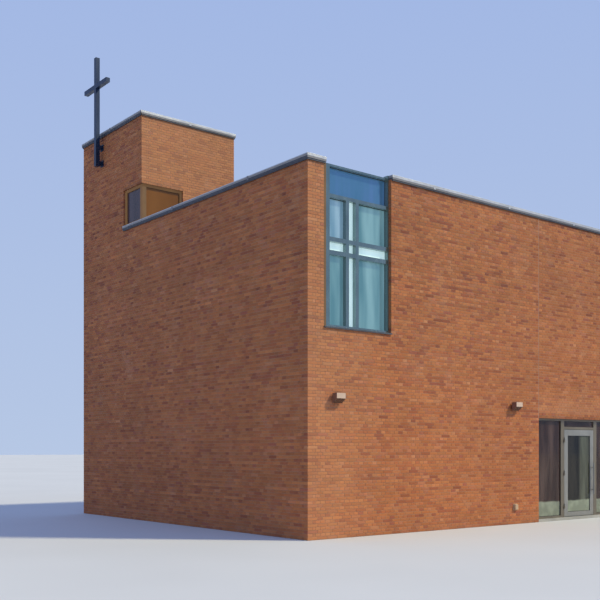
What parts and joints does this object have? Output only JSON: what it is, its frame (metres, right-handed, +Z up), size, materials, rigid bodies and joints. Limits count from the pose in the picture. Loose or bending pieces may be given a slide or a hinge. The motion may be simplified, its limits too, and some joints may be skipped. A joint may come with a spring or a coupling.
{
  "type": "church building",
  "caption": "Plain brick church hall with a flat roof, a corner light tower carrying a metal cross, a tall cross window at the corner and a glazed entrance with a hinged door.",
  "frame": {"origin": "middle of the main block's plan, on the ground at the underside of the floor slab", "axes": "+Z up, +X along the entrance wall towards its far end, -Y out through the entrance; the tower stands at -X and +Y"},
  "size_m": [15.49, 9.895, 12.03],
  "materials": {
    "brick": "rough clinker brick with flush pale mortar",
    "concrete": "fair-faced concrete",
    "membrane": "matt mineral roof membrane",
    "coping_metal": "pale satin sheet",
    "dark_frame": "satin anthracite coating",
    "clear_glass": "clear, blue-green in reflection",
    "opal_glass": "opal white",
    "blue_glass": "back-painted glass panel",
    "door_metal": "natural anodised",
    "lamp_body": "off-white coating",
    "cross_steel": "dark grey-blue coating"
  },
  "bodies": {
    "building": {"left_wall": "brick", "right_wall": "brick", "front_wall_below_window": "brick", "front_wall_middle": "brick", "front_wall_over_entrance": "brick", "front_wall_right": "brick", "back_wall": "brick", "back_wall_below_window": "brick", "tower_left_wall": "brick", "tower_front_wall": "brick", "tower_back_wall": "brick", "tower_right_wall": "brick", "floor_slab": "concrete", "entrance_threshold": "concrete", "roof_slab_front": "concrete", "roof_slab_back": "concrete", "tower_roof_slab": "concrete", "roof_covering_front": "membrane", "roof_covering_back": "membrane", "coping_left": "coping_metal", "coping_front": "coping_metal", "coping_back": "coping_metal", "coping_right": "coping_metal", "coping_tower": "coping_metal", "window_frame": "dark_frame", "window_roof_edge": "dark_frame", "back_window_frame": "dark_frame", "back_window_roof_edge": "dark_frame", "tower_window_frame": "dark_frame", "entrance_frame": "dark_frame", "window_pane_lower_left": "clear_glass", "window_pane_lower_right": "clear_glass", "window_pane_upper_left": "clear_glass", "window_pane_upper_right": "clear_glass", "back_window_pane": "clear_glass", "tower_window_pane_left": "clear_glass", "tower_window_pane_front": "clear_glass", "entrance_pane_left": "clear_glass", "entrance_pane_right": "clear_glass", "entrance_pane_over_door": "clear_glass", "window_opal_cross": "opal_glass", "window_spandrel_panel": "blue_glass", "wall_lamp_left": "lamp_body", "wall_lamp_right": "lamp_body", "wall_cross": "cross_steel"},
    "entrance_door": {"door_leaf": "door_metal", "door_glass": "clear_glass", "door_handle": "door_metal"}
  },
  "joints": [
    {"name": "entrance_door_hinge", "type": "hinge", "parent": "building", "child": "entrance_door", "pos_m": [0.676, -4.781, 1.158], "axis": [0, 0, -1], "range_deg": [0, 90]}
  ]
}
